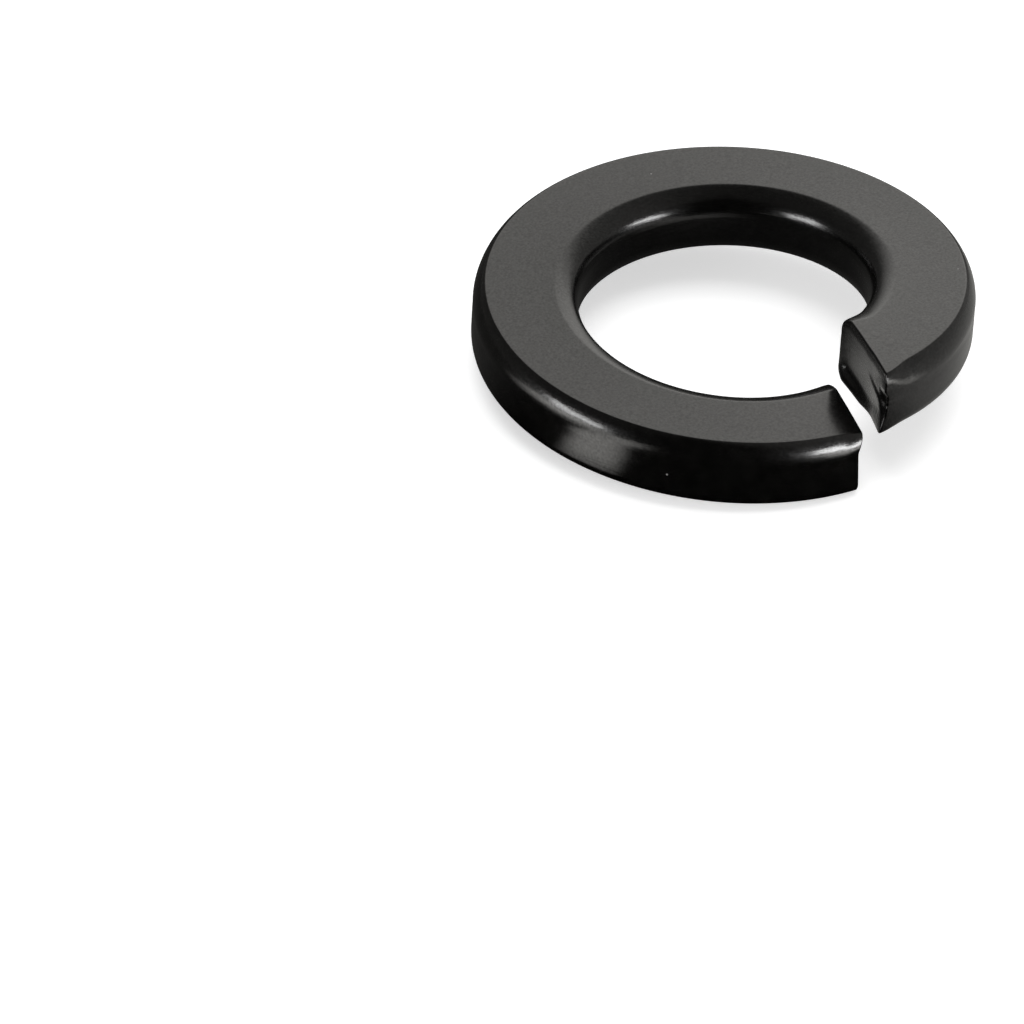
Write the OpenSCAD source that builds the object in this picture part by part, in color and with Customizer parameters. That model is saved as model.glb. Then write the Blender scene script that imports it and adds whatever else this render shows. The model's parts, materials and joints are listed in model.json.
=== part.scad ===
// Split spring lock washer: one turn of flattened spring wire, cut through on
// a slant and left with its two ends sprung apart along the bore.
// The bore runs along Z, the split faces -Y, and the low end touches Z = 0.
// Seen from above, the ring climbs from the low end, left of the split,
// to the raised end, right of it.

/* [Ring] */
// Diameter of the bore
bore_d = 8.2; // [6.2:0.1:10.4]
// Width of the band, from the bore to the outside
band_w = 3; // [2.4:0.1:4]
// Thickness of the band along the bore
band_t = 2; // [1.7:0.05:2.8]
// Rise of the band over one full turn
rise = 1.8; // [0.6:0.1:3]

/* [Edges] */
// Radius of the long edges at the bore
inner_edge_r = 0.64; // [0.3:0.02:0.76]
// Radius of the long edges at the outside
outer_edge_r = 0.44; // [0.2:0.02:0.76]

/* [Split] */
// Width of the split, measured across it at the middle of the band
split_w = 0.68; // [0.4:0.02:1.2]
// How much wider the split is at the outside than at the bore
split_flare = 0.04; // [0:0.02:0.3]
// Slant of the split away from a straight radial cut, in degrees
split_slant = 18.9; // [0:0.1:30]

/* [Cut faces] */
// How far the lip over the low end's cut face reaches into the split
lip_out = 0.14; // [0:0.01:0.2]
// Height of the lip
lip_h = 0.65; // [0.4:0.05:1]
// How far the raised end's upper outer corner reaches into the split
corner_out = 0.06; // [0:0.01:0.12]
// How far the low end's upper face rolls over beside the cut
roll_drop = 0.03; // [0:0.01:0.1]
// Length of the roll-over at the bore side of the cut
roll_len_bore = 0.3; // [0.2:0.05:1]
// Length of the roll-over at the outer side of the cut
roll_len_out = 1.3; // [0.5:0.05:1.6]

/* [Hidden] */

bore_r = bore_d / 2;
outer_r = bore_r + band_w;
middle_r = bore_r + band_w / 2;

// The swept band stands this far into the bore, and the bore is then cut true
bore_skin = 0.015;
// Overrun of the bore's cutter past the ends of the ring
overrun = 1;
// Segments round each long edge, across the flat and up the band
outer_edge_segs = 5;
inner_edge_segs = 6;
flat_segs = 5;
wall_segs = 6;
// Steps round the ring, and finer steps beside each cut
turn_steps = 76;
end_steps = 6;
// Share of the turn that the finer steps cover at each end
end_share = 0.04;

// Smooth step from 0 at a = 0 to 1 at a = 1
function ease(a) = let (u = max(0, min(1, a))) u * u * (3 - 2 * u);

// Half outline of the section, from the outer wall over the top to the bore.
// Each point is [radius, depth below the band's face].
swept_bore_r = bore_r - bore_skin;
half_section = concat(
    [for (i = [0 : outer_edge_segs])
        let (a = 90 * i / outer_edge_segs)
        [outer_r - outer_edge_r * (1 - cos(a)), outer_edge_r * (1 - sin(a))]],
    [for (i = [1 : flat_segs - 1])
        let (from = outer_r - outer_edge_r, to = swept_bore_r + inner_edge_r)
        [from + (to - from) * i / flat_segs, 0]],
    [for (i = [0 : inner_edge_segs])
        let (a = 90 * i / inner_edge_segs)
        [swept_bore_r + inner_edge_r * (1 - sin(a)), inner_edge_r * (1 - cos(a))]]
);
columns = len(half_section);

// Height on the section, above the band's lower face, at a column and a row.
// Row 0 is the lower face and row wall_segs is the upper one.
function section_z(c, w) =
    let (d = half_section[c][1])
    d + (band_t - 2 * d) * w / wall_segs;

// Distance of the cut's middle line from the radial line at radius q
function split_x(q) = -(q - middle_r) * tan(split_slant);

// Half of the split's width along the ring at radius q
function half_split(q) =
    (split_w / cos(split_slant) + split_flare * (q - middle_r) / band_w) / 2;

// Angles of the raised end's and the low end's cut faces at radius q and height z
function raised_end(q, z) =
    let (corner = corner_out * (q - bore_r) / band_w * z / band_t)
    asin((split_x(q) + half_split(q) - corner) / q);
function low_end(q, z) =
    360 + asin((split_x(q) - half_split(q) + lip_out * ease(1 - (band_t - z) / lip_h)) / q);

// Length of the roll-over beside the cut at radius q
function roll_len(q) = roll_len_bore + (roll_len_out - roll_len_bore) * (q - bore_r) / band_w;

// How far a point at arc length s from the low end's cut is rolled over, at share v
// of the band's thickness above the lower face
function rolled(q, s, v) =
    let (k = max(0, 1 - s / roll_len(q)))
    roll_drop * k * k * v * v;

// Turned angle at which the low end's lower face ends: the ring's lowest place
turn_end = low_end(bore_r + inner_edge_r, 0);

// Point on the ring at a column and a row of the section, at share t of the turn
function ring_point(c, w, t) =
    let (
        q = half_section[c][0],
        z = section_z(c, w),
        v = z / band_t,
        a0 = raised_end(q, z),
        a1 = low_end(q, z),
        a = a0 + (a1 - a0) * t,
        down = rolled(q, (a1 - a) * q * PI / 180, v)
    )
    [q * sin(a), -q * cos(a), z + rise * (turn_end - a) / 360 - down];

// The section's loop as [column, row] pairs: down the outer wall, along the
// lower face, up the bore and back along the upper face
section_loop = concat(
    [for (w = [wall_segs : -1 : 1]) [0, w]],
    [for (c = [0 : columns - 2]) [c, 0]],
    [for (w = [0 : wall_segs - 1]) [columns - 1, w]],
    [for (c = [columns - 1 : -1 : 1]) [c, wall_segs]]
);
loop_len = len(section_loop);

stations = concat(
    [for (i = [0 : end_steps - 1]) end_share * i / end_steps],
    [for (i = [0 : turn_steps]) end_share + (1 - 2 * end_share) * i / turn_steps],
    [for (i = [1 : end_steps]) 1 - end_share + end_share * i / end_steps]
);
last_station = len(stations) - 1;

// Points inside the outline of a cut face, as [column, row] pairs
face_inner = [for (c = [1 : columns - 2]) for (w = [1 : wall_segs - 1]) [c, w]];
inner_rows = wall_segs - 1;

// Where a section's point stands in the outline loop, for a column and a row
function on_loop(c, w) =
    c == 0 && w > 0 ? wall_segs - w :
    w == 0 ? wall_segs + c :
    c == columns - 1 ? wall_segs + columns - 1 + w :
    2 * wall_segs + 2 * (columns - 1) - c;

// Number of a cut face's point, on the outline at a station or inside the face
function face_id(c, w, station, inside_from) =
    c == 0 || c == columns - 1 || w == 0 || w == wall_segs
        ? station * loop_len + on_loop(c, w) % loop_len
        : inside_from + (c - 1) * inner_rows + w - 1;

// Triangles of one cut face, turned to face out of the ring
function cut_face(station, inside_from, flip) = [
    for (c = [0 : columns - 2]) for (w = [0 : wall_segs - 1])
        let (
            p = face_id(c, w, station, inside_from),
            q = face_id(c + 1, w, station, inside_from),
            r = face_id(c + 1, w + 1, station, inside_from),
            s = face_id(c, w + 1, station, inside_from)
        )
        each flip ? [[p, r, q], [p, s, r]] : [[p, q, r], [p, r, s]]
];

module swept_band() {
    outline_points = [
        for (t = stations) for (p = section_loop) ring_point(p[0], p[1], t)
    ];
    raised_points = [for (p = face_inner) ring_point(p[0], p[1], 0)];
    low_points = [for (p = face_inner) ring_point(p[0], p[1], 1)];
    raised_from = len(outline_points);
    low_from = raised_from + len(face_inner);
    skin = [
        for (i = [0 : last_station - 1]) for (j = [0 : loop_len - 1])
            let (
                k = (j + 1) % loop_len,
                a = i * loop_len + j,
                b = i * loop_len + k,
                c = (i + 1) * loop_len + k,
                d = (i + 1) * loop_len + j
            )
            each [[a, c, b], [a, d, c]]
    ];
    polyhedron(
        points = concat(outline_points, raised_points, low_points),
        faces = concat(
            skin,
            cut_face(0, raised_from, false),
            cut_face(last_station, low_from, true)
        ),
        convexity = 6
    );
}

module lock_washer() {
    color([0.07, 0.07, 0.075])
    difference() {
        swept_band();
        translate([0, 0, -overrun])
            cylinder(h = band_t + rise + 2 * overrun, r = bore_r, $fn = 180);
    }
}

lock_washer();
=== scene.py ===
"""Split spring lock washer in black steel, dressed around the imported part."""

import json
from math import cos, pi, radians, sin, tan

import bpy
import numpy as np
from bpy.props import FloatProperty, FloatVectorProperty, PointerProperty
from bpy.types import Operator, Panel, PropertyGroup
from mathutils import Matrix, Vector


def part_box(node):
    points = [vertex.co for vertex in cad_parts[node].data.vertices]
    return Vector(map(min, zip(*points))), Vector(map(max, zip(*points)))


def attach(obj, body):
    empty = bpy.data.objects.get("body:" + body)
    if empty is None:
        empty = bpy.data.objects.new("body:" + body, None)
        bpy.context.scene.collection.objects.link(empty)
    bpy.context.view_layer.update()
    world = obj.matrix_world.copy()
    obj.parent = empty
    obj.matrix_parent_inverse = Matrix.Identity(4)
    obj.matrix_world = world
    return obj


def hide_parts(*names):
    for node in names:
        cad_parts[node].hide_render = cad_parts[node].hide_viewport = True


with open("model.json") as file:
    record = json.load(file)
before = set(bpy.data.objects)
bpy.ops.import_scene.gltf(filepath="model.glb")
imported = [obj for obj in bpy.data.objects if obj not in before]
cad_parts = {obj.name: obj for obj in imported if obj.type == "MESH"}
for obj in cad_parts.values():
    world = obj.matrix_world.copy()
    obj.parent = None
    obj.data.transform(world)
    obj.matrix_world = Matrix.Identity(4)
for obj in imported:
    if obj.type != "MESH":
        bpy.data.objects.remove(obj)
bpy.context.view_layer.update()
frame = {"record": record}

bl_info = {
    "name": "Spring Lock Washer",
    "version": (1, 0, 0),
    "blender": (4, 5, 0),
    "location": "View3D > Sidebar > Washer",
    "description": "A split spring lock washer with sheared ends and its black finish",
    "category": "Add Mesh",
}

MM = 0.001
NODE = "lock_washer"
BORE_R = frame["record"]["mounts"][0]["dims"]["r_mm"] * MM
# The outer radius, to a hundredth of a millimetre
OUTER_R = round(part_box(NODE)[1].x, 5)

# The photograph's side in pixels, the camera's sensor, and the nearest and farthest
# distances that it sees
PICTURE = 1024
SENSOR_MM = 36
CLIP_NEAR = 1 * MM
CLIP_FAR = 10

# Mesh steps: round the long edges, across the flat, up the walls, round the broken cut
# edges, beside each cut and along the ring
OUTER_EDGE_STEPS = 14
INNER_EDGE_STEPS = 18
FLAT_STEPS = 30
WALL_STEPS = 36
BREAK_STEPS = 4
END_STEPS = 26
TURN_STEPS = 210
COLUMNS = OUTER_EDGE_STEPS + FLAT_STEPS + INNER_EDGE_STEPS + 1

# The steps beside a cut reach this many lengths of the roll-over, and widen by this power
END_REACH = 1.25
END_GROWTH = 1.6


def length(name, description, default):
    """A size in metres with its label."""
    return FloatProperty(name=name, description=description, default=default,
                         precision=6, unit="LENGTH", subtype="DISTANCE")


def angle(name, description, degrees):
    """An angle, given in degrees."""
    return FloatProperty(name=name, description=description, default=radians(degrees),
                         unit="ROTATION", subtype="ANGLE")


def colour(name, description, default):
    """A linear colour."""
    return FloatVectorProperty(name=name, description=description, default=default,
                               size=3, min=0, max=1, subtype="COLOR")


def bends(name, description, *radii):
    """Radii of an edge's curve in mm, from the face to the wall."""
    return FloatVectorProperty(name=name, description=description, size=len(radii),
                               default=[r * MM for r in radii], precision=6,
                               unit="LENGTH")


def amount(name, description, default):
    """A plain factor."""
    return FloatProperty(name=name, description=description, default=default, precision=4)


class WasherSizes(PropertyGroup):
    """Sizes of the washer."""
    bore_r: length("Bore radius", "Radius of the bore", BORE_R)
    band_w: length("Band width", "From the bore to the outside", OUTER_R - BORE_R)
    band_t: length("Band thickness", "Thickness of the band along the bore", 2 * MM)
    rise: length("Rise", "Rise of the band over one full turn", 1.8 * MM)
    bore_edge: bends("Bore edge", "Radii at 0, 12, 20, 32, 52, 66 and 90 degrees of turn",
                     0.15, 0.3, 2.5, 0.3, 0.3, 1.0, 0.45)
    outer_edge: bends("Outer edge", "Radii at 0, 20, 45, 70 and 90 degrees of turn",
                      0.1, 0.1, 0.4, 1.2, 0.45)
    under_edge: bends("Lower outer edge", "Radii at the same turns as above it",
                      0.3, 0.3, 0.35, 0.4, 0.4)
    raised_fade: length("Raised end's fade", "From the raised cut to the full rounding",
                        1 * MM)
    low_fade: length("Low end's fade", "From the low cut to the full rounding", 0.6 * MM)
    crease: length("Crease", "Depth of the shallow lines round the walls", 0.006 * MM)
    split_w: length("Split width", "Width of the split at the middle of the band", 0.6 * MM)
    split_shift: length("Split shift", "How far the split's middle stands off -Y", 0.04 * MM)
    split_flare: length("Split flare", "How much wider the split is outside than at the bore",
                        0.04 * MM)
    split_slant: angle("Split slant", "Slant of the split away from a radial cut", 18.9)
    corner_out: length("Raised corner", "How far the raised end's upper corner leans out",
                       0.065 * MM)
    toe_out: length("Raised toe", "How far the raised end's lower corners reach out",
                    0.1 * MM)
    low_hollow: length("Low end's hollow", "How far the low end stands back at its top",
                       0.145 * MM)
    lip_out: length("Lip", "How far the low end's lip reaches into the split", 0.2 * MM)
    lip_h: length("Lip height", "Height of the lip", 0.64 * MM)
    dish: length("Dish", "Depth of the hollow in the raised end's cut face", 0.18 * MM)
    brow: length("Brow", "How far the raised end's cut face curls back at its top",
                 0.035 * MM)
    fold: length("Fold", "Height of the fold across the raised end's cut face", 0.03 * MM)
    sliver: length("Sliver", "Depth of the facet beside the raised end's lower tip",
                   0.1 * MM)
    roll_drop: length("Roll-over", "How far the face rolls over beside the cut", 0.05 * MM)
    roll_len_bore: length("Roll-over at the bore", "Length of the roll-over at the bore",
                          0.3 * MM)
    roll_len_out: length("Roll-over outside", "Length of the roll-over at the outside",
                         1.3 * MM)
    edge_break: length("Edge break", "Rounding of the cut edges", 0.05 * MM)


class WasherFinish(PropertyGroup):
    """Colours and surface of the black steel."""
    black: colour("Black", "Colour of the finish", (0.0009, 0.00086, 0.0008))
    worn: colour("Thin black", "Colour where the finish is thin", (0.0024, 0.0023, 0.0021))
    dust: colour("Dust", "Colour of the dust specks", (0.17, 0.17, 0.165))
    roughness: amount("Roughness", "Roughness of the finish", 0.2)
    cut_roughness: amount("Cut roughness", "Roughness of the sheared faces", 0.24)


class StageSettings(PropertyGroup):
    """Camera, light and floor."""
    azimuth: angle("Azimuth", "Camera's direction round the bore", -42.2)
    elevation: angle("Elevation", "Camera's height above the floor's plane", 34.14)
    roll: angle("Roll", "Camera's roll", 4.25)
    distance: length("Distance", "From the washer's middle to the camera", 198.5 * MM)
    focal_px: amount("Focal length", "Camera's focal length in pixels", 7000)
    middle_px: FloatVectorProperty(name="Middle", size=2, default=(722.7, 311.6),
                                   description="Where the washer's middle falls, in pixels")
    floor_colour: colour("Floor", "Colour of the floor", (0.9, 0.9, 0.9))
    floor_glow: amount("Floor glow", "How much the floor adds where it is seen", 0.52)
    sky: amount("Sky", "Strength of the even light", 0.36)
    key: amount("Key", "Strength of the soft light from above", 1.6)
    key_height: angle("Key height", "The soft light's height above the floor's plane", 78)
    key_spread: angle("Key spread", "Width of the soft light", 60)
    left_power: amount("Left lamp", "Power of the left lamp in watts", 0.34)
    right_power: amount("Right lamp", "Power of the right lamp in watts", 0.66)
    lamp_w: length("Lamp width", "Across each soft lamp", 140 * MM)
    lamp_h: length("Lamp height", "Height of each soft lamp", 60 * MM)
    lamp_distance: length("Lamp distance", "From the washer to each lamp", 300 * MM)
    lamp_swing: angle("Lamp swing", "Each lamp's angle to the side of the camera", 59)
    lamp_rise: angle("Lamp rise", "Each lamp's angle above the floor's plane", 8)


def ease(a):
    """Smooth step from 0 at a = 0 to 1 at a = 1."""
    u = np.clip(a, 0, 1)
    return u * u * (3 - 2 * u)


def ramp(a, start, end):
    """Smooth step from 0 at a = start to 1 at a = end."""
    return ease((a - start) / (end - start))


def step(a, at, soft):
    """0 below at and 1 above it, with a soft border."""
    return ease((a - at) / soft + 0.5)


# Turns at which the long edges' radii are given, and the fine turns they are summed over
OUTER_BENDS_AT = np.radians((0, 20, 45, 70, 90))
BORE_BENDS_AT = np.radians((0, 12, 20, 32, 52, 66, 90))
TURNS = np.linspace(0, pi / 2, 181)


def edge_curve(radii, bends_at, steps, share, inset):
    """An edge from a face to a wall: distance out to the wall's side and depth.

    The curve's radii are scaled by share, and inset moves it inwards.
    """
    radius = np.interp(TURNS, bends_at, radii) * share
    run, fall = (np.concatenate([[0], np.cumsum((y[1:] + y[:-1]) / 2)]) * TURNS[1]
                 for y in (radius * np.cos(TURNS), radius * np.sin(TURNS)))
    turn = np.linspace(0, pi / 2, steps + 1)
    return np.stack([np.interp(turn, TURNS, run) - run[-1] - inset * np.sin(turn),
                     np.interp(turn, TURNS, fall) + inset * np.cos(turn)], 1)


def half_section(size, outer_edge, inset, outer_share, bore_share):
    """Half outline of the section shrunk by inset, from the outer wall to the bore.

    Each row is [radius, depth below the band's face].
    """
    outer = edge_curve(outer_edge, OUTER_BENDS_AT, OUTER_EDGE_STEPS, outer_share,
                       inset)[::-1]
    bore = edge_curve(size.bore_edge, BORE_BENDS_AT, INNER_EDGE_STEPS, bore_share, inset)
    outer[:, 0] += size.bore_r + size.band_w
    bore[:, 0] = size.bore_r - bore[:, 0]
    share = np.linspace(0, 1, FLAT_STEPS + 1)[1:-1, None]
    return np.concatenate([outer, outer[-1] * (1 - share) + bore[0] * share, bore])


# Heights and widths of the shallow lines round the outer wall and the bore, as shares
# of the band's thickness, and where they fade in, as shares across the band
CREASE_AT = 0.6
CREASE_WIDTH = 0.09
CREASE_ACROSS = (0.75, 1)
BORE_LINE_AT = 0.69
BORE_LINE_WIDTH = 0.03
BORE_LINE_ACROSS = (0.25, 0)

# Shares of the long edges' rounding that are left right at a cut: outer and bore
# edge above, outer and bore edge below
FULL = np.ones(4)
RAISED_SHARES = np.array([0.45, 0.66, 0.5, 0.4])
LOW_SHARES = np.array([0.74, 1.0, 1.0, 0.6])


def face_shares(size, radius, height):
    """A place on the section as shares: across the band from the bore, and up it."""
    return (radius - size.bore_r) / size.band_w, height / size.band_t


def section_points(size, inset, shares, columns, rows):
    """Radius and height of the section's points at the given columns and rows."""
    top = half_section(size, size.outer_edge, inset, *shares[:2])[columns]
    under = half_section(size, size.under_edge, inset, *shares[2:])[columns]
    share = rows / WALL_STEPS
    radius = under[:, 0] * (1 - share) + top[:, 0] * share
    height = under[:, 1] * (1 - share) + (size.band_t - top[:, 1]) * share
    across, up = face_shares(size, radius, height)
    crease = np.exp(-((up - CREASE_AT) / CREASE_WIDTH) ** 2) * ramp(across, *CREASE_ACROSS)
    bore_line = (np.exp(-((up - BORE_LINE_AT) / BORE_LINE_WIDTH) ** 2)
                 * ramp(across, *BORE_LINE_ACROSS))
    return radius - size.crease * (crease - bore_line), height


def split_middle(size, radius):
    """Distance of the split's middle line from -Y at a radius."""
    middle_r = size.bore_r + size.band_w / 2
    return size.split_shift - (radius - middle_r) * tan(size.split_slant)


def half_split(size, radius):
    """Half of the split's width along the ring at a radius."""
    middle_r = size.bore_r + size.band_w / 2
    flare = size.split_flare * (radius - middle_r) / size.band_w
    return (size.split_w / cos(size.split_slant) + flare) / 2


# Where the forms of the raised end's torn face begin and where they are full, in shares
# across the band from the bore and in shares up it
DISH_FROM_BORE = (0, 1 / 8)
DISH_FROM_OUTSIDE = (1, 5 / 6)
DISH_FROM_FOOT = (0, 1 / 4.4)
DISH_OVER_FOOT = (0.45, 0.75)
DISH_THINS = (0.3, 1)
BROW_UP = (0.84, 1)
FOLD_ACROSS = (0.5, 0.7)
TOE_UP = (1 / 3, 0)
TOE_FROM_BORE = (0, 1 / 7)
# Shares of the dish's depth left at the outside and at the top, and of the toe's reach
# left midway and at the bore
DISH_OUTSIDE = 0.05
DISH_TOP = 0.4
TOE_MIDWAY = 0.4
TOE_BORE = 0.15
# The fold's height at the bore's side, its fall across the band and its soft border
FOLD_AT = 0.8
FOLD_FALL = 0.36
FOLD_SOFT = 0.05
# The facet's width, its heights with their soft border, and the run of its slope
SLIVER_W = 0.16
SLIVER_LOW = 0.06
SLIVER_HIGH = 0.66
SLIVER_SOFT = 0.12
SLIVER_RUN = 0.14


def dished(across, up):
    """Share of the dish's depth: most near the bore, least by the outer wall."""
    rim = ramp(across, *DISH_FROM_BORE) * ramp(across, *DISH_FROM_OUTSIDE)
    foot = np.maximum(ramp(up, *DISH_FROM_FOOT), ramp(across, *DISH_OVER_FOOT))
    thinned = 1 - (1 - DISH_OUTSIDE) * ramp(across, *DISH_THINS)
    return rim * foot * thinned * (1 - (1 - DISH_TOP) * up * up)


def folded(across, up):
    """Share of the fold's height, above a line that falls across the outer half."""
    return ramp(across, *FOLD_ACROSS) * step(up, FOLD_AT - FOLD_FALL * across, FOLD_SOFT)


def slivered(across, up):
    """Share of the depth of a facet by the outer wall, which narrows to the lower tip."""
    edge = 1 - SLIVER_W * np.clip(2 * up, 0, 1)
    heights = step(up, SLIVER_LOW, SLIVER_SOFT) * (1 - step(up, SLIVER_HIGH, SLIVER_SOFT))
    return ramp(across, edge, edge + SLIVER_RUN) * heights


def toed(across, up):
    """Share of the toe's reach along the lower edge: most at the tip, least at the bore."""
    midway = TOE_MIDWAY + (1 - TOE_MIDWAY) * (2 * across - 1) ** 2
    return ramp(up, *TOE_UP) * midway * (TOE_BORE + (1 - TOE_BORE)
                                         * ramp(across, *TOE_FROM_BORE))


def raised_end(size, radius, height):
    """Angle of the raised end's torn cut face."""
    across, up = face_shares(size, radius, height)
    back = (size.dish * dished(across, up) + size.brow * ramp(up, *BROW_UP)
            + size.fold * folded(across, up) + size.sliver * slivered(across, up))
    out = size.toe_out * toed(across, up) + size.corner_out * across * up
    along = split_middle(size, radius) + half_split(size, radius) + back - out
    return np.arcsin(along / radius)


def low_end(size, radius, height):
    """Angle of the low end's cut face, hollow under a lip at its upper edge."""
    across, up = face_shares(size, radius, height)
    lip = size.lip_out * ease(1 - (size.band_t - height) / size.lip_h)
    hollow = size.low_hollow * across * up
    along = split_middle(size, radius) - half_split(size, radius) + lip - hollow
    return 2 * pi + np.arcsin(along / radius)


def rolled(size, radius, height, distance):
    """How far the band rolls over at a distance from the low end's cut."""
    across, up = face_shares(size, radius, height)
    run = size.roll_len_bore + (size.roll_len_out - size.roll_len_bore) * across
    return size.roll_drop * (np.maximum(0, 1 - distance / run) * up) ** 2


# Share of the band's width where the low end's lower face is lowest
LOWEST_AT = 0.21


def ring_points(size, radius, height, turned):
    """Places on the ring of section points at the angles that they are turned by."""
    turn_end = low_end(size, size.bore_r + LOWEST_AT * size.band_w, 0)
    distance = (low_end(size, radius, height) - turned) * radius
    z = (height + size.rise * (turn_end - turned) / (2 * pi)
         - rolled(size, radius, height, distance))
    return np.stack([radius * np.sin(turned), -radius * np.cos(turned), z], -1)


def loop_places():
    """Columns and rows of the section's outline: outer wall, lower face, bore, face."""
    down = [(0, row) for row in range(WALL_STEPS, 0, -1)]
    under = [(column, 0) for column in range(COLUMNS - 1)]
    up = [(COLUMNS - 1, row) for row in range(WALL_STEPS)]
    over = [(column, WALL_STEPS) for column in range(COLUMNS - 1, 0, -1)]
    return np.array(down + under + up + over)


def stations(size):
    """The fine rings' distances from a cut, and how far each section is shrunk."""
    turn = np.linspace(0, pi / 2, BREAK_STEPS + 1)
    broken = size.edge_break * (1 - np.cos(turn))
    shrunk = size.edge_break * (1 - np.sin(turn))
    reach = END_REACH * size.roll_len_out
    growth = np.linspace(0, 1, END_STEPS + 1)[1:] ** END_GROWTH
    beyond = size.edge_break + (reach - size.edge_break) * growth
    return (np.concatenate([broken, beyond]),
            np.concatenate([shrunk, np.zeros(END_STEPS)]))


def washer_rings(size, loop):
    """The section's outline at each place along the washer, from the raised end on."""
    distances, insets = stations(size)
    raised_rings, low_rings = [], []
    for distance, inset in zip(distances, insets):
        shares = RAISED_SHARES + (FULL - RAISED_SHARES) * ease(distance / size.raised_fade)
        radius, height = section_points(size, inset, shares, *loop.T)
        turned = raised_end(size, radius, height) + distance / radius
        raised_rings.append(ring_points(size, radius, height, turned))
        shares = LOW_SHARES + (FULL - LOW_SHARES) * ease(distance / size.low_fade)
        radius, height = section_points(size, inset, shares, *loop.T)
        turned = low_end(size, radius, height) - distance / radius
        low_rings.append(ring_points(size, radius, height, turned))
    radius, height = section_points(size, 0, FULL, *loop.T)
    first = raised_end(size, radius, height) + distances[-1] / radius
    last = low_end(size, radius, height) - distances[-1] / radius
    middle_rings = [ring_points(size, radius, height, first + (last - first) * share)
                    for share in np.linspace(0, 1, TURN_STEPS + 1)[1:-1]]
    return raised_rings + middle_rings + low_rings[::-1]


def skin_faces(rings, count):
    """The faces that join each ring of count points to the next."""
    ring, place = np.meshgrid(np.arange(rings - 1), np.arange(count), indexing="ij")
    here = ring * count
    beyond = here + count
    following = (place + 1) % count
    return np.stack([here + place, beyond + place, beyond + following,
                     here + following], -1).reshape(-1, 4)


def washer_mesh(size):
    """The washer as one closed mesh: points, faces, and how many faces are its skin.

    The faces after the skin are those of the two sheared ends.
    """
    loop = loop_places()
    count = len(loop)
    rings = washer_rings(size, loop)
    points = np.concatenate(rings)
    skin = skin_faces(len(rings), count)
    faces = [skin]
    for end, ring, shares in ((raised_end, 0, RAISED_SHARES),
                              (low_end, len(rings) - 1, LOW_SHARES)):
        grid = np.full((COLUMNS, WALL_STEPS + 1), -1)
        grid[loop[:, 0], loop[:, 1]] = ring * count + np.arange(count)
        inner = np.argwhere(grid < 0)
        grid[inner[:, 0], inner[:, 1]] = len(points) + np.arange(len(inner))
        radius, height = section_points(size, size.edge_break, shares, *inner.T)
        turned = end(size, radius, height)
        points = np.concatenate([points, ring_points(size, radius, height, turned)])
        quads = np.stack([grid[:-1, :-1], grid[1:, :-1], grid[1:, 1:], grid[:-1, 1:]],
                         -1).reshape(-1, 4)
        faces.append(quads if end is raised_end else quads[:, ::-1])
    return points, np.concatenate(faces), len(skin)


def add_node(tree, kind, inputs=None, **settings):
    """A shader node with its settings and its inputs, as values or links."""
    node = tree.nodes.new(kind)
    for name, value in settings.items():
        setattr(node, name, value)
    for key, value in (inputs or {}).items():
        if isinstance(value, bpy.types.NodeSocket):
            tree.links.new(value, node.inputs[key])
        else:
            node.inputs[key].default_value = value
    return node


def math(tree, operation, *values):
    """The output of a Math node."""
    return add_node(tree, "ShaderNodeMath", dict(enumerate(values)),
                    operation=operation).outputs[0]


def vector_math(tree, operation, *values):
    """The output of a Vector Math node."""
    node = add_node(tree, "ShaderNodeVectorMath", dict(enumerate(values)),
                    operation=operation)
    return node.outputs["Vector" if operation == "NORMALIZE" else "Value"]


def object_place(tree):
    """The place on the object that is shaded."""
    return add_node(tree, "ShaderNodeTexCoord").outputs["Object"]


def new_tree(name):
    """An empty material with its node tree."""
    material = bpy.data.materials.new(name)
    material.use_nodes = True
    material.node_tree.nodes.clear()
    return material, material.node_tree


def rgba(tone):
    """A colour with full alpha."""
    return (*tone, 1.0)


def streaks(tree, place, fine, run):
    """Noise drawn out along the band with no seam.

    fine is per metre across the band, and run is per turn along it.
    """
    split = add_node(tree, "ShaderNodeSeparateXYZ", {0: place}).outputs
    flat = add_node(tree, "ShaderNodeCombineXYZ",
                    {"X": split["X"], "Y": split["Y"]}).outputs[0]
    outward = add_node(tree, "ShaderNodeSeparateXYZ",
                       {0: vector_math(tree, "NORMALIZE", flat)}).outputs
    radius = vector_math(tree, "LENGTH", flat)
    vector = add_node(tree, "ShaderNodeCombineXYZ",
                      {"X": math(tree, "MULTIPLY", radius, fine),
                       "Y": math(tree, "MULTIPLY", outward["X"], run),
                       "Z": math(tree, "MULTIPLY", outward["Y"], run)}).outputs[0]
    return add_node(tree, "ShaderNodeTexNoise",
                    {"Vector": vector, "W": math(tree, "MULTIPLY", split["Z"], fine),
                     "Scale": 1.0, "Detail": 3.0},
                    noise_dimensions="4D").outputs["Fac"]


def noise(tree, place, scale, detail):
    """Even noise of the given scale, per metre."""
    return add_node(tree, "ShaderNodeTexNoise",
                    {"Vector": place, "Scale": scale, "Detail": detail}).outputs["Fac"]


def span(tree, value, reads, gives, kind="LINEAR"):
    """Value laid from the two ends of reads over the two ends of gives."""
    return add_node(tree, "ShaderNodeMapRange",
                    {"Value": value, "From Min": reads[0], "From Max": reads[1],
                     "To Min": gives[0], "To Max": gives[1]},
                    interpolation_type=kind).outputs["Result"]


def bump(tree, depth, pattern, under=None, strength=1.0):
    """The normal after a bump by a pattern, up to depth metres, over another bump."""
    inputs = {"Strength": strength, "Distance": depth, "Height": pattern}
    if under is not None:
        inputs["Normal"] = under
    return add_node(tree, "ShaderNodeBump", inputs).outputs[0]


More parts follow.
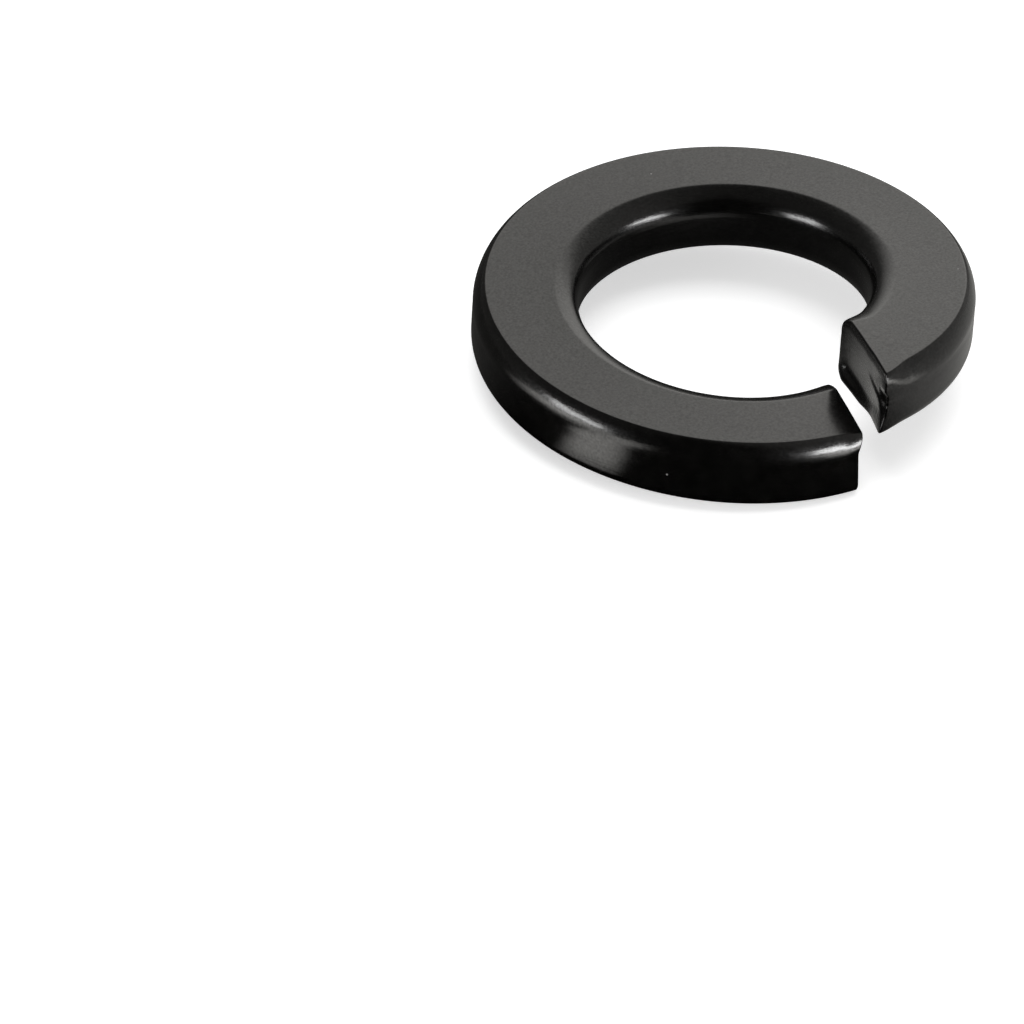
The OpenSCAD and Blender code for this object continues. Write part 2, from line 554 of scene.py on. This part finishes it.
def mix(tree, share, a, b):
    """A colour between a and b."""
    return add_node(tree, "ShaderNodeMix", {0: share, 6: a, 7: b},
                    data_type="RGBA").outputs[2]


# Noise of the finish: its waves per metre and its detail
MOTTLE = (2400.0, 3.0)
GRAIN = (14000.0, 4.0)
SWELL = (420.0, 2.0)
# Streaks: waves per metre across the band and per turn along it
STREAKS = (9000.0, 7.0)
# Levels of the mottling over which the finish thins, and of the other noise that is used
THINNING = (0.35, 0.75)
NOISE_USED = (0.3, 0.7)
# What the grain and the swell add to the roughness, and the shine over the grain
GRAIN_ROUGH = (-0.02, 0.03)
SWELL_ROUGH = (-0.015, 0.02)
SHINE = (0.36, 0.64)
# The streaks fade from the walls to the faces, as the normal's vertical share grows
STREAKS_FADE = (0.7, 0.97)
STREAKS_STRENGTH = (1.0, 0.12)
# Dust: cells per metre, share of cells left clean, and a speck's size in its cell
DUST_CELLS = 1100.0
DUST_FREE = 0.5
DUST_SIZE = 0.033
# Heights of the bumps in metres on the rolled band and on the sheared faces
GRAIN_BUMP = (0.0000006, 0.0000012)
MOTTLE_BUMP = (0.0000025, 0.000006)
STREAK_BUMP = 0.000005
STEEL_IOR = 1.5


def dust_specks(tree, place):
    """1 on a dust speck, else 0."""
    cells = add_node(tree, "ShaderNodeTexVoronoi",
                     {"Vector": place, "Scale": DUST_CELLS}).outputs
    chance = add_node(tree, "ShaderNodeSeparateColor", {0: cells["Color"]}).outputs[0]
    picked = math(tree, "GREATER_THAN", chance, DUST_FREE)
    near = math(tree, "LESS_THAN", cells["Distance"], DUST_SIZE)
    return math(tree, "MULTIPLY", picked, near)


def black_steel(finish, cut):
    """The washer's black finish, on the rolled band or on its sheared faces."""
    material, tree = new_tree("sheared_black_steel" if cut else "black_spring_steel")
    place = object_place(tree)
    mottle = noise(tree, place, *MOTTLE)
    grain = noise(tree, place, *GRAIN)
    swell = noise(tree, place, *SWELL)

    thin = span(tree, mottle, THINNING, (0.0, 1.0))
    steel = mix(tree, thin, rgba(finish.black), rgba(finish.worn))
    dusted = mix(tree, dust_specks(tree, place), steel, rgba(finish.dust))

    base = finish.cut_roughness if cut else finish.roughness
    rough = math(tree, "ADD",
                 span(tree, grain, NOISE_USED, [base + more for more in GRAIN_ROUGH]),
                 span(tree, swell, NOISE_USED, SWELL_ROUGH))

    facing = add_node(tree, "ShaderNodeSeparateXYZ",
                      {0: add_node(tree, "ShaderNodeNewGeometry").outputs["Normal"]})
    steep = span(tree, math(tree, "ABSOLUTE", facing.outputs["Z"]), STREAKS_FADE,
                 STREAKS_STRENGTH)
    fine = bump(tree, GRAIN_BUMP[cut], grain)
    broad = bump(tree, MOTTLE_BUMP[cut], mottle, fine)
    drawn = bump(tree, STREAK_BUMP, streaks(tree, place, *STREAKS), broad, steep)

    skin = add_node(tree, "ShaderNodeBsdfPrincipled",
                    {"Base Color": dusted, "Metallic": 0.0, "IOR": STEEL_IOR,
                     "Specular IOR Level": span(tree, grain, NOISE_USED, SHINE),
                     "Roughness": rough, "Normal": drawn})
    add_node(tree, "ShaderNodeOutputMaterial", {"Surface": skin.outputs[0]})
    return material


def link_object(name, data):
    """A new object in the scene."""
    piece = bpy.data.objects.new(name, data)
    bpy.context.scene.collection.objects.link(piece)
    return piece


def mesh_object(name, points, faces):
    """A new mesh object from points and faces."""
    mesh = bpy.data.meshes.new(name)
    mesh.from_pydata([tuple(p) for p in points], [], [tuple(f) for f in faces])
    mesh.update()
    return link_object(name, mesh)


def heading(azimuth, elevation):
    """Direction from the washer at an azimuth from -Y and an elevation."""
    return Vector((sin(azimuth) * cos(elevation), -cos(azimuth) * cos(elevation),
                   sin(elevation)))


# The camera's fit is centred this far above the middle of the band's height
MIDDLE_LIFT = 0.0145 * MM


def ring_middle():
    """The washer's middle, on the bore's axis."""
    size = bpy.context.scene.washer_sizes
    return Vector((0, 0, (size.band_t + size.rise) / 2 + MIDDLE_LIFT))


def photo_camera(stage):
    """The camera, turned so that the washer's middle falls on its picture place."""
    back = heading(stage.azimuth, stage.elevation)
    right = Vector((cos(stage.azimuth), sin(stage.azimuth), 0))
    up = back.cross(right)
    c, s = cos(stage.roll), sin(stage.roll)
    facing = Matrix((c * right + s * up, c * up - s * right, back)).transposed()
    half = PICTURE / 2
    ray = Vector(((stage.middle_px[0] - half) / stage.focal_px,
                  (half - stage.middle_px[1]) / stage.focal_px, -1)).normalized()
    turn = ray.rotation_difference(Vector((0, 0, -1))).to_matrix()
    data = bpy.data.cameras.new("photo_camera")
    data.sensor_width = SENSOR_MM
    data.lens = stage.focal_px * SENSOR_MM / PICTURE
    data.clip_start = CLIP_NEAR
    data.clip_end = CLIP_FAR
    camera = link_object("photo_camera", data)
    camera.matrix_world = Matrix.Translation(
        ring_middle() + back * stage.distance) @ (facing @ turn).to_4x4()
    bpy.context.scene.camera = camera


def seen(tree):
    """1 where a camera, glossy or transmission ray looks, else 0."""
    path = add_node(tree, "ShaderNodeLightPath").outputs
    mirrored = math(tree, "MAXIMUM", path["Is Glossy Ray"], path["Is Transmission Ray"])
    return math(tree, "MAXIMUM", path["Is Camera Ray"], mirrored)


def pale_world(stage):
    """White where it is seen, and an even soft light."""
    world = bpy.data.worlds.new("pale_world")
    world.use_nodes = True
    tree = world.node_tree
    tree.nodes.clear()
    strength = math(tree, "MULTIPLY_ADD", seen(tree), 1 - stage.sky, stage.sky)
    background = add_node(tree, "ShaderNodeBackground",
                          {"Color": (1, 1, 1, 1), "Strength": strength})
    add_node(tree, "ShaderNodeOutputWorld", {"Surface": background.outputs[0]})
    bpy.context.scene.world = world


def floor_material(stage):
    """Pale floor that reaches white where it is lit and keeps its shadow."""
    material, tree = new_tree("pale_floor")
    matt = add_node(tree, "ShaderNodeBsdfDiffuse", {"Color": rgba(stage.floor_colour)})
    glow = math(tree, "MULTIPLY", seen(tree), stage.floor_glow)
    light = add_node(tree, "ShaderNodeEmission", {"Strength": glow})
    both = add_node(tree, "ShaderNodeAddShader", {0: matt.outputs[0], 1: light.outputs[0]})
    add_node(tree, "ShaderNodeOutputMaterial", {"Surface": both.outputs[0]})
    return material


# Half the floor's side, in metres
FLOOR_HALF = 0.9


def pale_floor(stage):
    """The floor under the washer."""
    corners = [(-FLOOR_HALF, -FLOOR_HALF, 0), (FLOOR_HALF, -FLOOR_HALF, 0),
               (FLOOR_HALF, FLOOR_HALF, 0), (-FLOOR_HALF, FLOOR_HALF, 0)]
    floor = mesh_object("floor", corners, [(0, 1, 2, 3)])
    floor.data.materials.append(floor_material(stage))


def soft_lamp(stage, name, side, power):
    """A soft lamp to one side of the camera."""
    data = bpy.data.lights.new(name, "AREA")
    data.shape = "RECTANGLE"
    data.size = stage.lamp_w
    data.size_y = stage.lamp_h
    data.energy = power
    lamp = link_object(name, data)
    towards = heading(stage.azimuth + side * stage.lamp_swing, stage.lamp_rise)
    lamp.location = ring_middle() + towards * stage.lamp_distance
    lamp.rotation_euler = towards.to_track_quat("Z", "Y").to_euler()
    lamp.visible_camera = False


def soft_key(stage):
    """A broad soft light from above, which reflections leave out."""
    data = bpy.data.lights.new("soft_key", "SUN")
    data.energy = stage.key
    data.angle = stage.key_spread
    key = link_object("soft_key", data)
    towards = heading(stage.azimuth + pi, stage.key_height)
    key.rotation_euler = towards.to_track_quat("Z", "Y").to_euler()
    key.visible_glossy = False


# Painted reflections round the washer, from glowing panels that are no lamps and that only
# reflections see: azimuth from the camera, elevation, half-angle to the full level,
# half-angle to none (degrees), and the level
TENT = ((175.5, 29, 17, 30, 1.38), (105, 25, 35, 70, 0.4), (-105, 25, 35, 75, 0.12))
TABLE = ((102, 0, 28, 56, 0.42), (-115, 0, 30, 60, 0.05))
# Painted reflections on the table the same way, among them the two lamps' painted
# reflections in the floor, for panels that fade towards the washer's foot: each with the
# radii where it starts and where it is full
FADING_PAINTED_PANELS = (((-33, 0, 1, 11, 2.6), 7.6 * MM, 8.4 * MM),
               ((59, 0, 8, 22, 5.0), 11 * MM, 22 * MM),
               ((-59, 0, 8, 22, 4.0), 11 * MM, 22 * MM))
# A painted pool of light on the floor in the bore, which only reflections see: brightest
# round a place beside the split
POOL_AT = Vector((0.6 * MM, -4.4 * MM, 0))
POOL_NEAR = 1.2 * MM
POOL_FAR = 4.5 * MM
POOL_PAINTED_GLOW = 1.0
BORE_PAINTED_GLOW = 0.05
# Share of the washer's outer radius inside which the table shows that painted pool
BORE_SHARE = 0.97
# Painted black level outside the panels, for dark reflections, the warm tone of all the
# painted reflections, and the cards' sizes
PAINTED_BLACK_LEVEL = 0.002
PAINTED_REFLECTION_TONE = (1.0, 0.985, 0.945, 1.0)
TENT_R = 0.55
TENT_STEPS = 32
TABLE_R = 0.5
TABLE_Z = 0.05 * MM


def painted_panel_level(tree, stage, place, panels):
    """How bright the painted reflection panels are at a place, by its direction from the
    washer.
    """
    towards = vector_math(tree, "NORMALIZE", place)
    level = PAINTED_BLACK_LEVEL
    for azimuth, elevation, full, none, strength in panels:
        aim = heading(stage.azimuth + radians(azimuth), radians(elevation))
        reads = (cos(radians(none)), cos(radians(full)))
        panel = span(tree, vector_math(tree, "DOT_PRODUCT", towards, aim), reads,
                     (0.0, strength), "SMOOTHSTEP")
        level = math(tree, "ADD", level, panel)
    return level


def tent_painted_level(tree, stage, place):
    """How bright the tent's painted reflections are at a place."""
    return painted_panel_level(tree, stage, place, TENT)


def table_painted_level(tree, stage, place):
    """How bright the table's painted reflections are: panels outside the washer, and a
    painted pool of light in its bore.
    """
    radius = vector_math(tree, "LENGTH", place)
    level = painted_panel_level(tree, stage, place, TABLE)
    for panel, start, full in FADING_PAINTED_PANELS:
        part = math(tree, "MULTIPLY", painted_panel_level(tree, stage, place, [panel]),
                    span(tree, radius, (start, full), (0.0, 1.0)))
        level = math(tree, "ADD", level, part)
    # A painted pool of light in the bore, which only reflections see
    glow = span(tree, vector_math(tree, "DISTANCE", place, POOL_AT),
                (POOL_NEAR, POOL_FAR), (POOL_PAINTED_GLOW, BORE_PAINTED_GLOW))
    inside = math(tree, "LESS_THAN", radius, BORE_SHARE * OUTER_R)
    outside = math(tree, "SUBTRACT", 1.0, inside)
    return math(tree, "ADD", math(tree, "MULTIPLY", inside, glow),
                math(tree, "MULTIPLY", outside, level))


def painted_reflection_card(stage, name, points, faces, level_at):
    """A glowing stage piece, no lamp, that only reflections see: a painted reflection, as
    bright as level_at says.
    """
    card = mesh_object(name, points, faces)
    material, tree = new_tree(name)
    level = level_at(tree, stage, object_place(tree))
    # The card glows: a painted reflection, not a lamp
    light = add_node(tree, "ShaderNodeEmission", {"Color": PAINTED_REFLECTION_TONE, "Strength": level})
    add_node(tree, "ShaderNodeOutputMaterial", {"Surface": light.outputs[0]})
    card.data.materials.append(material)
    card.visible_camera = False
    card.visible_diffuse = False
    card.visible_shadow = False
    card.visible_transmission = False


def painted_reflection_tent(stage):
    """The tent and the table top: painted reflections that only the black finish mirrors."""
    turn = np.linspace(0, 2 * pi, TENT_STEPS, endpoint=False)
    rise = np.linspace(0, pi / 2, TENT_STEPS // 4 + 1)[:-1]
    rows = [(TENT_R * sin(a) * cos(e), -TENT_R * cos(a) * cos(e), TENT_R * sin(e))
            for e in rise for a in turn]
    faces = [(r * TENT_STEPS + i, r * TENT_STEPS + (i + 1) % TENT_STEPS,
              (r + 1) * TENT_STEPS + (i + 1) % TENT_STEPS, (r + 1) * TENT_STEPS + i)
             for r in range(len(rise) - 1) for i in range(TENT_STEPS)]
    last = (len(rise) - 1) * TENT_STEPS
    faces += [(last + i, last + (i + 1) % TENT_STEPS, len(rows)) for i in range(TENT_STEPS)]
    painted_reflection_card(stage, "painted_reflection_tent", rows + [(0, 0, TENT_R)], faces, tent_painted_level)
    table = [(TABLE_R * cos(a), TABLE_R * sin(a), TABLE_Z) for a in turn]
    painted_reflection_card(stage, "painted_reflection_table", table, [tuple(range(TENT_STEPS))],
                  table_painted_level)


class WASHER_OT_build(Operator):
    """Build the washer from its sizes and give it its black finish"""
    bl_idname = "washer.build"
    bl_label = "Build washer"

    def execute(self, context):
        size = context.scene.washer_sizes
        finish = context.scene.washer_finish
        points, faces, skin_count = washer_mesh(size)
        washer = mesh_object("spring_lock_washer", points, faces)
        washer.data.materials.append(black_steel(finish, cut=False))
        washer.data.materials.append(black_steel(finish, cut=True))
        for face in washer.data.polygons:
            face.use_smooth = True
            face.material_index = int(face.index >= skin_count)
        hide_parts(NODE)
        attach(washer, "root")
        return {"FINISHED"}


class WASHER_OT_stage(Operator):
    """Set the camera, the floor and the lights round the washer"""
    bl_idname = "washer.stage"
    bl_label = "Set the stage"

    def execute(self, context):
        stage = context.scene.washer_stage
        photo_camera(stage)
        pale_world(stage)
        pale_floor(stage)
        soft_lamp(stage, "lamp_left", -1, stage.left_power)
        soft_lamp(stage, "lamp_right", 1, stage.right_power)
        soft_key(stage)
        # Painted reflections: glowing cards that only reflections see
        painted_reflection_tent(stage)
        context.scene.view_settings.view_transform = "Standard"
        return {"FINISHED"}


class WASHER_PT_panel(Panel):
    """The washer's operators and its sizes"""
    bl_label = "Spring Lock Washer"
    bl_idname = "WASHER_PT_panel"
    bl_space_type = "VIEW_3D"
    bl_region_type = "UI"
    bl_category = "Washer"

    def draw(self, context):
        layout = self.layout
        layout.operator("washer.build")
        layout.operator("washer.stage")
        for group in ("washer_sizes", "washer_finish", "washer_stage"):
            settings = getattr(context.scene, group)
            box = layout.box()
            for name in settings.__annotations__:
                box.prop(settings, name)


GROUPS = {"washer_sizes": WasherSizes, "washer_finish": WasherFinish,
          "washer_stage": StageSettings}
CLASSES = (*GROUPS.values(), WASHER_OT_build, WASHER_OT_stage, WASHER_PT_panel)


def register():
    """Registers the classes and gives the scene its settings."""
    for cls in CLASSES:
        bpy.utils.register_class(cls)
    for name, group in GROUPS.items():
        setattr(bpy.types.Scene, name, PointerProperty(type=group))


def unregister():
    """Takes the settings and the classes away again."""
    for name in GROUPS:
        delattr(bpy.types.Scene, name)
    for cls in reversed(CLASSES):
        bpy.utils.unregister_class(cls)


def main():
    """Builds the washer and its stage."""
    register()
    bpy.ops.washer.build()
    bpy.ops.washer.stage()


if __name__ == "__main__":
    main()
